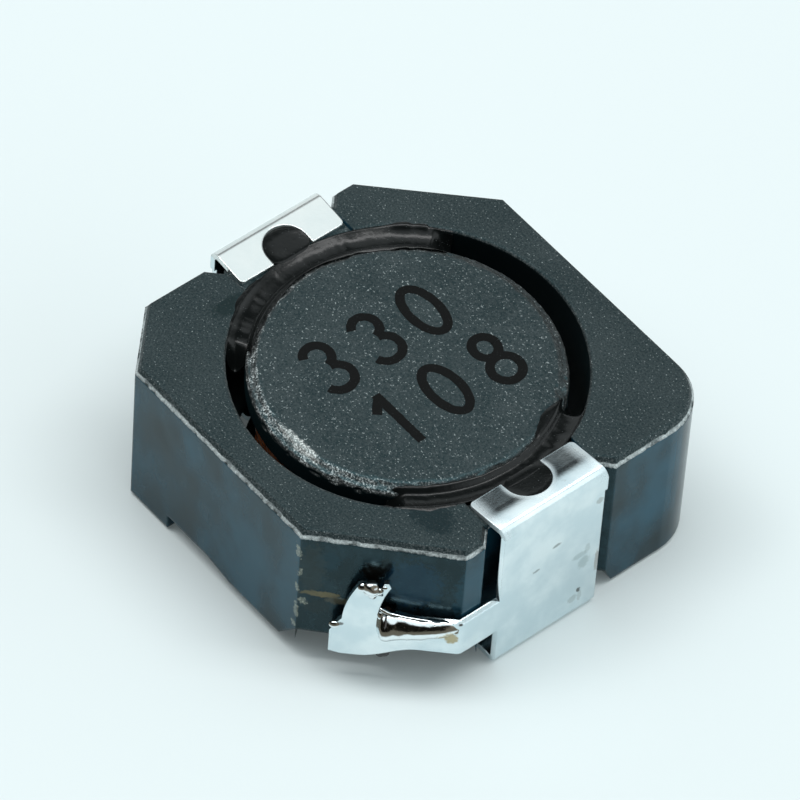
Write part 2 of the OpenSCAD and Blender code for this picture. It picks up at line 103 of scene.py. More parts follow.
class Graph:
    # the node tree of one material, or of the world
    def __init__(self, owner):
        self.owner = owner
        owner.use_nodes = True
        self.tree = owner.node_tree
        self.tree.nodes.clear()

    def node(self, kind, settings=None, inputs=None, output=0):
        made = self.tree.nodes.new(kind)
        for key, value in (settings or {}).items():
            setattr(made, key, value)
        for key, value in (inputs or {}).items():
            if isinstance(value, Field):
                self.tree.links.new(value.socket, made.inputs[key])
            else:
                made.inputs[key].default_value = value
        return Field(self, made.outputs[output])

    def place(self):
        return self.node("ShaderNodeTexCoord", output="Object")

    def axes(self, vector):
        return [self.node("ShaderNodeSeparateXYZ", inputs={0: vector}, output=k) for k in range(3)]

    def noise(self, size, detail=2.0, rough=0.5, where=None, stretch=None):
        # even noise whose lumps are about size metres across
        where = where or self.place()
        if stretch:
            where = self.node("ShaderNodeMapping", inputs={"Vector": where, "Scale": stretch})
        return self.node("ShaderNodeTexNoise", {"noise_dimensions": "3D"},
                         {"Vector": where, "Scale": 1.0 / size, "Detail": detail, "Roughness": rough})

    def wander(self, size, amount):
        # fine noise about 0, which makes the edges of spots wander
        return (self.noise(size, 3.0, 0.6) - 0.5) * amount

    def lean(self):
        # height of the surface's normal: 1 where it faces up, 0 where it is upright
        return self.axes(self.node("ShaderNodeNewGeometry", output="Normal"))[2]

    def blend(self, mask, first, second):
        inputs = {"Factor": mask, 6: first, 7: second}
        return self.node("ShaderNodeMix", {"data_type": "RGBA"}, inputs, output=2)

    def bump(self, height, distance, strength=1.0, normal=None):
        inputs = {"Height": height, "Distance": distance, "Strength": strength}
        if normal:
            inputs["Normal"] = normal
        return self.node("ShaderNodeBump", {}, inputs)

    def edges(self, radius):
        return self.node("ShaderNodeBevel", {"samples": 6}, {"Radius": radius})

    def finish(self, **inputs):
        names = {"color": "Base Color", "roughness": "Roughness", "metallic": "Metallic", "normal": "Normal",
                 "alpha": "Alpha", "coat": "Coat Weight", "ior": "IOR", "coatRoughness": "Coat Roughness",
                 "tint": "Specular Tint"}
        surface = self.node("ShaderNodeBsdfPrincipled", {}, {names[k]: v for k, v in inputs.items()})
        return self.close(surface)

    def close(self, surface, kind="Material"):
        output = self.tree.nodes.new("ShaderNodeOutput" + kind)
        self.tree.links.new(surface.socket, output.inputs["Surface"])
        return self.owner


def surfaceGraph(name):
    return Graph(bpy.data.materials.new(name))


def rgb(r, g, b):
    return (r, g, b, 1.0)


def distance(across, along):
    # square root of the sum of both squares
    return (across * across + along * along).power(0.5)


def spot(graph, place, centre, radius, wobble, softness=0.5):
    # 1 inside an ellipsoid about centre, 0 outside; its edge wanders with the noise wobble
    offset = graph.node("ShaderNodeVectorMath", {"operation": "SUBTRACT"},
                        {0: place, 1: [c * mm for c in centre]})
    scaled = graph.node("ShaderNodeVectorMath", {"operation": "DIVIDE"},
                        {0: offset, 1: [r * mm for r in radius]})
    length = graph.node("ShaderNodeVectorMath", {"operation": "LENGTH"}, {0: scaled}, output="Value")
    return (length + wobble).step(1.0 + softness / 2, 1.0 - softness / 2)


view = {"azimuth": 47.09, "elevation": 50.38, "roll": 4.40, "distance": 187.7, "lens": 372.3,
        "target": (-0.67, 0.46, 2.2), "sensor": 36.0, "nearest": 0.01, "farthest": 10.0}


def makeCamera():
    # the camera looks at the target from its azimuth and elevation, and is rolled about that line
    azimuth, elevation, roll = (math.radians(view[k]) for k in ("azimuth", "elevation", "roll"))
    away = Vector((math.cos(elevation) * math.sin(azimuth),
                   -math.cos(elevation) * math.cos(azimuth), math.sin(elevation)))
    level = Vector((0, 0, 1)).cross(away).normalized()
    up = away.cross(level)
    right = level * math.cos(roll) + up * math.sin(roll)
    up = up * math.cos(roll) - level * math.sin(roll)
    data = bpy.data.cameras.new("camera")
    data.lens = view["lens"]
    data.sensor_width = view["sensor"]
    data.clip_start = view["nearest"]
    data.clip_end = view["farthest"]
    camera = bpy.data.objects.new("camera", data)
    place = Vector(view["target"]) * mm + away * view["distance"] * mm
    turn = Matrix((right, up, away)).transposed().to_4x4()
    camera.matrix_world = Matrix.Translation(place) @ turn
    scene.collection.objects.link(camera)
    scene.camera = camera


studio = {"sky": (0.90, 0.98, 1.0), "dim": 0.03, "overhead": 1.05, "window": 1.4, "low": 0.8,
          "floor": (0.65, 0.71, 0.715), "floorGlow": (0.06, 0.070, 0.071), "reach": 1.5,
          # lamps: name, place, length and width in metres, power in watts, turn in degrees
          "lamps": [("stripLamp", (0.0, 0.01, 0.22), (0.30, 0.06), 0.34, 45.0),
                    ("softLamp", (-0.12, -0.10, 0.20), (0.16, 0.16), 0.12, 0.0)]}


def makeLamp(name, place, size, power, turn):
    # a flat lamp that faces the part; turn is its angle about that line
    data = bpy.data.lights.new(name, "AREA")
    data.shape = "RECTANGLE"
    data.size, data.size_y = size
    data.energy = power
    lamp = bpy.data.objects.new(name, data)
    aim = (-Vector(place)).to_track_quat("-Z", "Y")
    lamp.location = place
    lamp.rotation_euler = (aim @ Quaternion((0, 0, 1), math.radians(turn))).to_euler()
    scene.collection.objects.link(lamp)


def makeSky():
    # dim near the horizon; bright overhead, down to the horizon on the window's side, a quarter turn to the
    # right of the camera, and low down behind the part
    g = Graph(bpy.data.worlds.new("studioSky"))
    scene.world = g.owner
    x, y, z = g.axes(g.node("ShaderNodeTexCoord", output="Generated"))
    overhead = z.step(0.74, 0.87) * studio["overhead"]
    window = (x * 0.8 + y * 0.6).step(0.45, 0.85) * studio["window"]
    low = (y * 0.45 - x * 0.9).step(0.79, 0.84) * (1.0 - z.step(0.66, 0.74)) * studio["low"]
    level = (overhead + studio["dim"]).most(window.most(low))
    sky = g.node("ShaderNodeBackground", {}, {"Color": rgb(*studio["sky"]), "Strength": level})
    g.close(sky, "World")


def makeFloor():
    # pale matt paper; a steady glow, seen by the camera and in reflections, keeps its shadows pale
    g = surfaceGraph("floorPaper")
    seen = g.node("ShaderNodeLightPath", output="Is Camera Ray").most(
        g.node("ShaderNodeLightPath", output="Is Glossy Ray"))
    glow = g.node("ShaderNodeEmission", {}, {"Color": rgb(*studio["floorGlow"]), "Strength": 1.0})
    matt = g.node("ShaderNodeBsdfDiffuse", {}, {"Color": rgb(*studio["floor"])})
    both = g.node("ShaderNodeAddShader", {}, {0: glow, 1: matt})
    material = g.close(g.node("ShaderNodeMixShader", {}, {0: seen, 1: matt, 2: both}))
    mesh = bpy.data.meshes.new("floor")
    reach = studio["reach"]
    corners = [(-reach, -reach, 0), (reach, -reach, 0), (reach, reach, 0), (-reach, reach, 0)]
    mesh.from_pydata(corners, [], [(0, 1, 2, 3)])
    mesh.materials.append(material)
    floor = bpy.data.objects.new("floor", mesh)
    scene.collection.objects.link(floor)


makeCamera()
makeSky()
for lamp in studio["lamps"]:
    makeLamp(*lamp)
makeFloor()
print("studio ready")


def boxOf(name):
    return [np.array(corner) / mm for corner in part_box(name)]


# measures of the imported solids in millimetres; the bore's radius can't be read from a box
ringHigh = boxOf("ring_core")[1]
drumLow, drumHigh = boxOf("drum_core")
clipHigh = boxOf("terminal_front")[1]
ringTop, drumTop, drumRadius, bore = ringHigh[2], drumHigh[2], drumHigh[0], 4.1

# the sides' blue-greys, the sheen and the blue specular tint stand in for a painted reflection of a blue
# floor; the edge colour is a painted highlight and the wall colour painted shade
ferrite = {"dark": (0.011, 0.013, 0.013), "light": (0.058, 0.064, 0.064), "speck": (0.46, 0.52, 0.52),
           "sideDark": (0.002, 0.004, 0.005), "sideLight": (0.012, 0.027, 0.036), "edge": (0.66, 0.72, 0.72),
           "paintedSheen": (0.012, 0.060, 0.095), "smear": (0.055, 0.085, 0.095), "wall": (0.002, 0.002, 0.002),
           "chip": (0.60, 0.60, 0.48), "tint": (0.30, 0.85, 1.0), "grain": 0.05, "bevel": 0.09,
           "highlightBelow": 0.17, "topRoughness": 0.50, "sideRoughness": 0.20, "ior": 1.36}
# stains on the ring, among them painted reflections of a blue floor and a painted shade: centre and half size
# in millimetres, colour, strength
# painted reflections of a blue floor on the front chamfer and the face beside it
ringStainsAndPaintedLight = [((4.20, -3.22, 3.20), (0.60, 0.60, 0.75), (0.004, 0.034, 0.075), 0.5),
              ((4.95, -2.20, 2.90), (0.25, 0.40, 0.90), (0.010, 0.050, 0.080), 0.6),
              ((2.75, -4.50, 3.55), (0.30, 0.30, 0.30), (0.006, 0.026, 0.040), 0.6),
              # brown flux and a grey smear
              ((2.68, -4.58, 2.37), (0.42, 0.42, 0.10), (0.20, 0.15, 0.06), 0.85),
              ((2.95, -4.35, 2.22), (0.24, 0.24, 0.14), (0.11, 0.09, 0.05), 0.7),
              ((2.50, -4.75, 3.20), (0.30, 0.30, 0.85), (0.045, 0.042, 0.030), 0.35),
              # painted shade just left of the ear's end
              ((2.62, -4.62, 1.90), (0.30, 0.30, 0.22), (0.012, 0.013, 0.012), 0.9),
              # dark smudges above the fork, and films of epoxy on the top
              ((3.52, -3.84, 3.42), (0.25, 0.25, 0.30), (0.006, 0.005, 0.004), 0.95),
              ((3.70, -3.64, 3.70), (0.12, 0.12, 0.25), (0.006, 0.005, 0.004), 0.8),
              ((3.55, -2.35, 4.45), (0.70, 0.42, 0.10), (0.006, 0.008, 0.009), 0.75),
              ((-3.75, -2.10, 4.45), (0.24, 0.45, 0.10), (0.008, 0.011, 0.010), 0.8)]
# pale chips along the vertical edge between the long side and the front chamfer
edgeChips = [((2.24, -4.96, 3.72), (0.09, 0.07, 0.24)), ((2.30, -4.92, 3.05), (0.05, 0.05, 0.13)),
             ((2.26, -4.96, 2.45), (0.06, 0.05, 0.14)), ((2.38, -4.85, 2.05), (0.10, 0.09, 0.12)),
             ((2.28, -4.96, 1.70), (0.07, 0.05, 0.26)), ((2.22, -4.98, 1.15), (0.08, 0.05, 0.10))]


def ferriteFinish():
    # Dark grainy ferrite. On top, the tone between two greys is grain plus a fifth as much cloud, with light
    # specks. The sides are smoother and patchy in blue-greys, partly a painted reflection of a blue floor,
    # with a stronger painted blue reflection on the two faces beside the front chamfer. A pale line, a
    # painted highlight broken by smears and crumbs of wear, runs a little below the top. The bore's wall is
    # painted black as shade.
    g = surfaceGraph("ferrite")
    place = g.place()
    x, y, z = g.axes(place)
    rounded = g.edges(ferrite["bevel"] * mm)
    nx, ny, nz = g.axes(g.node("ShaderNodeNewGeometry", output="True Normal"))
    top = nz.step(0.30, 0.42)
    front = nx * 0.68 - ny * 0.73
    front = front.step(0.30, 0.60) * (1.0 - front.step(0.85, 0.98))
    lean = g.axes(rounded)[2]
    grain = g.noise(ferrite["grain"] * mm, 5.0, 0.75)
    cloud = g.noise(1.6 * mm, 4.0, 0.6)
    patch = g.noise(0.50 * mm, 5.0, 0.66, stretch=(1.0, 1.0, 0.6))
    smear = g.noise(0.30 * mm, 4.0, 0.7)
    wander = g.wander(0.12 * mm, 1.6)
    crumbs = g.noise(0.05 * mm, 3.0, 0.7).step(0.46, 0.66)
    specks = g.noise(0.045 * mm, 1.0).step(0.66, 0.78)
    tone = (grain - 0.5) * 3.0 + (cloud - 0.5) * 0.6 + 0.34
    color = g.blend(tone.most(0.0).least(1.0), rgb(*ferrite["dark"]), rgb(*ferrite["light"]))
    # patchy blue-grey sides: random patches, partly a painted reflection of a blue floor
    side = g.blend(patch.step(0.32, 0.72), rgb(*ferrite["sideDark"]), rgb(*ferrite["sideLight"]))
    # painted reflection: a blue sheen of the floor on the two faces beside the front chamfer
    broad = g.noise(1.3 * mm, 2.0, 0.5, stretch=(1.0, 1.0, 0.6))
    side = g.blend(front * broad.step(0.30, 0.70), side, rgb(*ferrite["paintedSheen"]))
    scratch = g.noise(0.07 * mm, 2.0, 0.5, stretch=(0.10, 0.10, 1.0)).step(0.64, 0.74)
    side = g.blend(smear.step(0.60, 0.76) * 0.35 + scratch * 0.18, side, rgb(*ferrite["smear"]))
    color = g.blend(top, side, color)
    color = g.blend(specks * (0.02 + 0.5 * top), color, rgb(*ferrite["speck"]))
    radius = distance(x, y)
    # painted shade: the bore's wall is black
    wall = (1.0 - radius.step((bore + 0.02) * mm, (bore + 0.10) * mm)) * (1.0 - top)
    color = g.blend(wall, color, rgb(*ferrite["wall"]))
    # painted highlight: a pale line a little below the top edge, broken by smears and crumbs of wear
    above = z / mm - (ringTop - ferrite["highlightBelow"]) + (smear - 0.5) * 0.16
    line = (1.0 - (above * above).step(0.0004, 0.0030)) * radius.step(4.2 * mm, 4.5 * mm)
    band = lean.step(0.06, 0.25) * (1.0 - lean.step(0.93, 0.99))
    line = line * (0.30 + 0.70 * smear.step(0.38, 0.56)) * (0.60 + 0.40 * crumbs)
    color = g.blend((band * crumbs * 0.06).most(line), color, rgb(*ferrite["edge"]))
    filmed = 0.0
    # blend in the stains, painted reflections and painted shade
    for centre, half, tint, strength in ringStainsAndPaintedLight:
        mask = spot(g, place, centre, half, wander, 0.5) * strength
        filmed = mask.most(filmed)
        color = g.blend(mask, color, rgb(*tint))
    chips = 0.0
    for centre, half in edgeChips:
        chips = spot(g, place, centre, half, wander * 2.0, 0.6).most(chips)
    chips = chips * (0.3 + 0.7 * crumbs)
    color = g.blend(chips * 0.8, color, rgb(*ferrite["chip"]))
    span = ferrite["topRoughness"] - ferrite["sideRoughness"]
    roughness = (ferrite["sideRoughness"] + span * top * (1.0 - 0.6 * filmed) + 0.06 * band
                 + 0.3 * chips + 0.5 * wall + (cloud - 0.5) * 0.12)
    height = grain * (0.10 + 0.90 * top) + cloud * 0.3
    normal = g.bump(height, 0.012 * mm, 0.7, rounded)
    # the blue specular tint is a painted reflection of a blue floor
    return g.finish(color=color, roughness=roughness, normal=normal, ior=ferrite["ior"],
                    tint=rgb(*ferrite["tint"]))


# colours of the drum's face; centre and half size of the painted glint on its rim and of the film beside the
# clip
drumFace = {"light": (0.058, 0.062, 0.062), "wall": (0.001, 0.001, 0.001), "ior": 1.40,
            "paintedGlint": ((0.45, -3.42, 4.45), (0.85, 0.15, 0.12)), "paintedGlintColor": (0.72, 0.76, 0.74),
            "film": ((3.15, 1.75, 4.43), (0.30, 0.55, 0.10)), "filmColor": (0.006, 0.008, 0.009)}


def drumFinish():
    # As the ring's top, and painted black down the wall as shade. Where its normal leans, the rim has light
    # crumbs, partly wear and partly a painted highlight strongest towards -Y, the lit side, with a painted
    # glint there; a film of epoxy darkens a spot beside the front clip.
    g = surfaceGraph("ferriteDrum")
    place = g.place()
    x, y = g.axes(place)[:2]
    lean = g.lean()
    grain = g.noise(ferrite["grain"] * mm, 5.0, 0.75)
    cloud = g.noise(1.2 * mm, 4.0, 0.6)
    smear = g.noise(0.25 * mm, 3.0, 0.6)
    specks = g.noise(0.045 * mm, 1.0).step(0.64, 0.78)
    crumbs = g.noise(0.045 * mm, 3.0, 0.7).step(0.46, 0.62)
    wander = g.wander(0.12 * mm, 1.6)
    tone = (grain - 0.5) * 3.0 + (cloud - 0.5) * 0.7 + 0.36
    color = g.blend(tone.most(0.0).least(1.0), rgb(*ferrite["dark"]), rgb(*drumFace["light"]))
    color = g.blend(specks * 0.6, color, rgb(*ferrite["speck"]))
    # painted highlight: light crumbs on the rim, strongest on the side towards -Y that the lamps light
    near = (y * -1.0 - x * 0.35).step(0.2 * mm, 2.4 * mm)
    rim = lean.step(0.25, 0.50) * (1.0 - lean.step(0.90, 0.985))
    worn = rim * (0.12 + 0.88 * near) * crumbs * (0.15 + 0.7 * smear.step(0.40, 0.65))
    color = g.blend(worn, color, rgb(*ferrite["edge"]))
    # painted glint on the near rim
    paintedGlint = spot(g, place, *drumFace["paintedGlint"], wander, 0.6)
    color = g.blend(paintedGlint * (0.25 + 0.75 * crumbs), color, rgb(*drumFace["paintedGlintColor"]))
    film = spot(g, place, *drumFace["film"], wander, 0.5)
    color = g.blend(film * 0.85, color, rgb(*drumFace["filmColor"]))
    # painted shade: the drum's wall is black
    wall = 1.0 - lean.step(0.10, 0.35)
    color = g.blend(wall, color, rgb(*drumFace["wall"]))
    roughness = 0.48 + (cloud - 0.5) * 0.15 - 0.16 * rim.most(film) + 0.4 * wall
    normal = g.bump(grain * (1.0 + 0.6 * rim), 0.010 * mm, 0.7)
    return g.finish(color=color, roughness=roughness, normal=normal, ior=drumFace["ior"],
                    tint=rgb(*ferrite["tint"]))


# the clips in millimetres and degrees: tilt of the flap, outer radius of the fold, radius of the notch, depth
# of the epoxy in it, and distance of the notch's middle from the axis for each fillet; then the tin's colours
clip = {"tilt": 8.0, "fold": 0.23, "notch": 0.57, "sink": 0.05,
        "core_epoxy_front": 4.15, "core_epoxy_rear": 4.31, "bendFrom": 4.40, "bendDepth": -0.42,
        "shade": (0.63, 0.74, 0.78), "bright": (0.79, 0.87, 0.89), "smudge": (0.42, 0.42, 0.38),
        "pale": (0.84, 0.85, 0.81), "roughness": 0.15}
# dirt on the tin: centre and half size in millimetres, colour, strength
tinStains = [((5.19, -2.62, 2.27), (0.06, 0.06, 0.07), (0.03, 0.02, 0.01), 0.95),
             ((5.12, -2.70, 2.02), (0.07, 0.07, 0.09), (0.10, 0.06, 0.02), 0.9),
             ((5.06, -2.76, 1.74), (0.15, 0.15, 0.17), (0.36, 0.27, 0.10), 0.8),
             ((3.26, -4.56, 1.86), (0.12, 0.12, 0.06), (0.06, 0.05, 0.04), 0.8),
             ((5.20, 0.98, 1.80), (0.10, 0.16, 0.20), (0.30, 0.38, 0.38), 0.45),
             ((5.20, 0.84, 2.12), (0.10, 0.20, 0.10), (0.30, 0.38, 0.38), 0.40),
             ((5.20, 1.06, 2.22), (0.10, 0.08, 0.16), (0.30, 0.38, 0.38), 0.35),
             ((5.20, 0.74, 0.62), (0.10, 0.13, 0.12), (0.34, 0.40, 0.40), 0.45),
             ((5.20, 0.95, 0.60), (0.10, 0.06, 0.17), (0.34, 0.40, 0.40), 0.40),
             ((5.20, 0.90, 0.84), (0.10, 0.06, 0.08), (0.08, 0.08, 0.07), 0.85),
             ((5.20, 0.10, 3.05), (0.10, 0.12, 0.05), (0.22, 0.25, 0.25), 0.7),
             ((5.20, -0.45, 2.55), (0.10, 0.10, 0.04), (0.25, 0.28, 0.28), 0.7),
             ((5.20, 1.30, 3.75), (0.10, 0.10, 0.10), (0.34, 0.36, 0.34), 0.6),
             ((5.20, 1.38, 1.55), (0.10, 0.06, 0.35), (0.34, 0.28, 0.24), 0.6)]


def tinFinish():
    # Tin plate with soft clouds of gloss, faint upright lines, smudges and flux dirt. A bump bends the front
    # flap's normals down: its height falls with the square of the distance past a line along it. Its rim,
    # near the sides and the notch, is duller, and the whole rear flap is painted paler and less metallic:
    # painted light.
    g = surfaceGraph("tinPlate")
    place = g.place()
    x, y, z = g.axes(place)
    cloud = g.noise(0.9 * mm, 4.0, 0.55)
    fine = g.noise(0.05 * mm, 2.0, 0.6)
    lines = g.noise(0.08 * mm, 2.0, 0.5, stretch=(1.0, 1.0, 0.06)) * (1.0 - z.step(4.2 * mm, 4.4 * mm))
    smudge = g.noise(0.5 * mm, 5.0, 0.7).step(0.66, 0.80)
    wander = g.wander(0.06 * mm, 1.4)
    color = g.blend(cloud.step(0.35, 0.7), rgb(*clip["shade"]), rgb(*clip["bright"]))
    color = g.blend(smudge * 0.35, color, rgb(*clip["smudge"]))
    for centre, half, tint, strength in tinStains:
        color = g.blend(spot(g, place, centre, half, wander, 0.5) * strength, color, rgb(*tint))
    past = (x / mm - clip["bendFrom"]).most(0.0)
    bend = past * past * clip["bendDepth"]
    fromNotch = distance(x - clip["core_epoxy_front"] * mm, y)
    fromMiddle = (y * y).power(0.5)
    rim = fromMiddle.step(1.10 * mm, 1.50 * mm).most(1.0 - fromNotch.step(0.56 * mm, 0.72 * mm))
    flap = z.step(4.38 * mm, 4.42 * mm)
    # painted light: the whole rear flap is paler and less metallic
    pale = flap * (1.0 - x.step(-3.6 * mm, -3.5 * mm))
    rim = rim * flap * x.step(3.5 * mm, 3.6 * mm)
    color = g.blend(pale * 0.6, color, rgb(*clip["pale"]))
    roughness = (clip["roughness"] + (cloud - 0.5) * 0.10 + (fine - 0.5) * 0.06
                 + smudge * 0.15 + rim * 0.15)
    soft = g.bump(bend, 1.0 * mm, 1.0, g.edges(0.035 * mm))
    normal = g.bump(fine * 0.3 + lines * 0.4 + cloud * 1.2, 0.006 * mm, 0.5, soft)
    metallic = 1.0 - 0.45 * rim - 0.25 * pale
    return g.finish(color=color, metallic=metallic, roughness=roughness, normal=normal)


# colours of the solder, its pits, the brown flux on it, partly a painted dark reflection band, and the amber
# flux beside the side plate, and its place
solderFace = {"bright": (0.84, 0.90, 0.92), "pit": (0.22, 0.17, 0.10), "fluxAndDarkBand": (0.075, 0.048, 0.018),
              "amber": (0.42, 0.33, 0.13), "amberSpot": ((5.06, -2.87, 1.88), (0.24, 0.24, 0.15)),
              "roughness": 0.09}


def solderFinish():
    # Bright reflowed solder with small pits. A brown film, partly flux and partly a painted dark reflection
    # band, lies where the normal, shifted by patches of noise, leans halfway between outwards and up, and
    # amber flux is left beside the side plate.
    g = surfaceGraph("solder")
    place = g.place()
    lean = g.lean()
    cloud = g.noise(0.25 * mm, 3.0, 0.55)
    patch = g.noise(0.35 * mm, 3.0, 0.6)
    pits = g.noise(0.06 * mm, 2.0, 0.6).step(0.66, 0.76)
    wander = g.wander(0.08 * mm, 1.4)
    # painted reflection: a dark band, partly brown flux, where the normal leans between outwards and up
    bent = lean + (patch - 0.5) * 0.3
    film = bent.step(0.06, 0.22) * (1.0 - bent.step(0.72, 0.84))
    amber = spot(g, place, *solderFace["amberSpot"], wander, 0.6)
    color = g.blend(pits * 0.5, rgb(*solderFace["bright"]), rgb(*solderFace["pit"]))
    color = g.blend(film * 0.92, color, rgb(*solderFace["fluxAndDarkBand"]))
    color = g.blend(amber * 0.7, color, rgb(*solderFace["amber"]))
    roughness = solderFace["roughness"] + cloud * 0.10 + amber * 0.2 + film * 0.06
    normal = g.bump(cloud - pits * 0.4, 0.02 * mm, 0.4)
    return g.finish(color=color, metallic=1.0, roughness=roughness, normal=normal)


epoxyFace = {"black": (0.004, 0.005, 0.005), "dust": (0.20, 0.23, 0.23), "roughness": 0.14, "ior": 1.36}


def epoxyFinish():
    # Glossy black epoxy; roughness is a base plus cloud, and more where there is dust
    g = surfaceGraph("blackEpoxy")
    cloud = g.noise(0.5 * mm, 3.0, 0.5)
    dust = g.noise(0.035 * mm, 1.0).step(0.72, 0.80)
    color = g.blend(dust * 0.4, rgb(*epoxyFace["black"]), rgb(*epoxyFace["dust"]))
    roughness = epoxyFace["roughness"] + cloud * 0.16 + dust * 0.3
    height = cloud + g.noise(0.07 * mm, 3.0, 0.6) * 0.3
    normal = g.bump(height, 0.02 * mm, 0.6)
    return g.finish(color=color, roughness=roughness, normal=normal, ior=epoxyFace["ior"])


wireFace = {"dark": (0.16, 0.050, 0.020), "copper": (0.34, 0.115, 0.045), "paintedShade": (0.012, 0.008, 0.006),
            "roughness": 0.22, "coat": 0.5}


def wireFinish():
    # Copper under brown enamel, patchy with cloud, and painted dark outside the bore as shade under the ring
    # and the ears
    g = surfaceGraph("enamelledWire")
    x, y = g.axes(g.place())[:2]
    cloud = g.noise(0.3 * mm, 3.0, 0.5)
    color = g.blend(cloud.step(0.3, 0.7), rgb(*wireFace["dark"]), rgb(*wireFace["copper"]))
    # painted shade: the wire turns dark outside the bore
    outside = distance(x, y).step(4.2 * mm, 4.6 * mm)
    color = g.blend(outside, color, rgb(*wireFace["paintedShade"]))
    return g.finish(color=color, roughness=wireFace["roughness"] + cloud * 0.10, coat=wireFace["coat"],
                    normal=g.bump(cloud, 0.01 * mm, 0.3))


inkFace = {"dark": (0.001, 0.001, 0.001), "light": (0.004, 0.005, 0.005), "worn": (0.08, 0.10, 0.10),
           "roughness": 0.55, "ior": 1.20}


def inkFinish():
    # Matt black marking ink: grain between two blacks, with small worn specks
    g = surfaceGraph("markingInk")
    grain = g.noise(0.045 * mm, 3.0, 0.6)
    worn = g.noise(0.04 * mm, 1.0).step(0.68, 0.78)
    color = g.blend(grain, rgb(*inkFace["dark"]), rgb(*inkFace["light"]))
    color = g.blend(worn * 0.25, color, rgb(*inkFace["worn"]))
    roughness = inkFace["roughness"] + (grain - 0.5) * 0.3
    normal = g.bump(grain, 0.010 * mm, 0.7)
    return g.finish(color=color, roughness=roughness, normal=normal, ior=inkFace["ior"])


finishes = {"ferrite": ferriteFinish(), "drum": drumFinish(), "tin": tinFinish(), "solder": solderFinish(),
            "epoxy": epoxyFinish(), "wire": wireFinish(), "ink": inkFinish()}
nodeFinish = {"ring_core": "ferrite", "drum_core": "drum", "winding": "wire", "terminal_front": "tin",
              "terminal_rear": "tin", "solder_front": "solder", "solder_rear": "solder",
              "core_epoxy_front": "epoxy", "core_epoxy_rear": "epoxy"}
for name, kind in nodeFinish.items():
    nodes[name].data.materials.clear()
    nodes[name].data.materials.append(finishes[kind])
print("finishes ready")


def makePiece(name, shells, finish, replaced=(), smooth=True):
    # each shell is a stack of equal closed rings of points in millimetres, with a flat face on either end;
    # a shell whose faces would look inwards is built the other way round
    points, faces = [], []
    for shell in shells:
        shell = np.asarray(shell, float)
        rings, sides = shell.shape[:2]
        middle = shell.mean((0, 1))
        i, j = np.meshgrid(np.arange(rings - 1), np.arange(sides), indexing="ij")
        a = (i * sides + j).ravel()
        b = (i * sides + (j + 1) % sides).ravel()
        flat = shell.reshape(-1, 3) - middle
        volume = np.einsum("ij,ij->i", flat[a], np.cross(flat[b], flat[b + sides])).sum() + np.einsum(
            "ij,ij->i", flat[a], np.cross(flat[b + sides], flat[a + sides])).sum()
        start = sum(len(p) for p in points)
        quads = np.stack([a, b, b + sides, a + sides], 1)
        caps = [np.arange(sides)[::-1], np.arange((rings - 1) * sides, rings * sides)]
        for face in [*quads, *caps]:
            faces.append(((face if volume > 0 else face[::-1]) + start).tolist())
        points.append(shell.reshape(-1, 3))
    mesh = bpy.data.meshes.new(name)
    mesh.from_pydata((np.concatenate(points) * mm).tolist(), [], faces)
    mesh.update()
    mesh.polygons.foreach_set("use_smooth", [smooth and len(f) == 4 for f in faces])
    mesh.materials.append(finishes[finish])
    piece = bpy.data.objects.new(name, mesh)
    scene.collection.objects.link(piece)
    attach(piece, "root")
    if replaced:
        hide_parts(*replaced)
    return piece


def smooth(part):
    # three times the square less twice the cube: a smooth rise from 0 to 1
    return part * part * (3 - 2 * part)


def lumps(points, size, seed):
    # smooth random values between -1 and 1: a lattice of random numbers, size apart, eased between corners
    table = np.random.default_rng(seed).uniform(-1, 1, (32, 32, 32))
    grid = np.asarray(points) / size
    low = np.floor(grid).astype(int)
    part = smooth(grid - low)
    total = 0.0
    for corner in np.ndindex(2, 2, 2):
        weight = np.prod(np.where(corner, part, 1 - part), -1)
        total = total + weight * table[tuple(np.moveaxis((low + corner) % 32, -1, 0))]
    return total


def ease(value, low, high):
    # 0 at low, 1 at high, with a smooth rise between
    return smooth(np.clip((np.asarray(value, float) - low) / (high - low), 0, 1))


def bell(value, middle, width):
    # 1 at the middle, falling smoothly to 0 one width away on both sides
    return 1 - ease(np.abs(value - middle), 0, width)


def softened(corners, steps=5):
    # a path through corners (across, up, radius), each rounded by a curve that starts and ends radius away
    corners = np.array(corners, float)
    path = [corners[0, :2]]
    for before, corner, after in zip(corners[:-2], corners[1:-1], corners[2:]):
        at = corner[:2]
        ways = [p[:2] - at for p in (before, after)]
        start, end = (at + way * min(corner[2] / np.linalg.norm(way), 0.5) for way in ways)
        t = np.linspace(0, 1, steps)[:, None]
        path.extend((1 - t) ** 2 * start + 2 * t * (1 - t) * at + t * t * end)
    path.append(corners[-1, :2])
    return np.array(path)


def spaced(path, gap):
    # the same path with points no more than gap apart
    lengths = np.r_[0, np.cumsum(np.linalg.norm(np.diff(path, axis=0), axis=1))]
    inner = [np.linspace(a, b, max(2, math.ceil((b - a) / gap) + 1))[:-1]
             for a, b in zip(lengths, lengths[1:])]
    at = np.r_[np.concatenate(inner), lengths[-1]]
    return np.stack([np.interp(at, lengths, path[:, k]) for k in range(path.shape[1])], -1)


# millimetres: radius of the post, thickness of the flanges, radius at which the flat faces are closed, depth
# of the rim's roughness and of its chips; sides is the number of points round the axis
drum = {"post": 2.0, "flangeTop": 0.75, "flangeBottom": 0.70, "centre": 0.3, "sides": 540,
        "roughRim": 0.010, "chip": 0.035,
        # corners of the worn upper rim: distance in from the flange, distance down from the top, radius
        "rimSteps": [(0, 0.21, 0.05), (0.05, 0.13, 0.03), (0.13, 0.10, 0.03), (0.25, 0, 0.05), (0.5, 0, 0.1)],
        # the outline's last points, which are set closer together, and the gap between them
        "rimPoints": 34, "rimGap": 0.025}


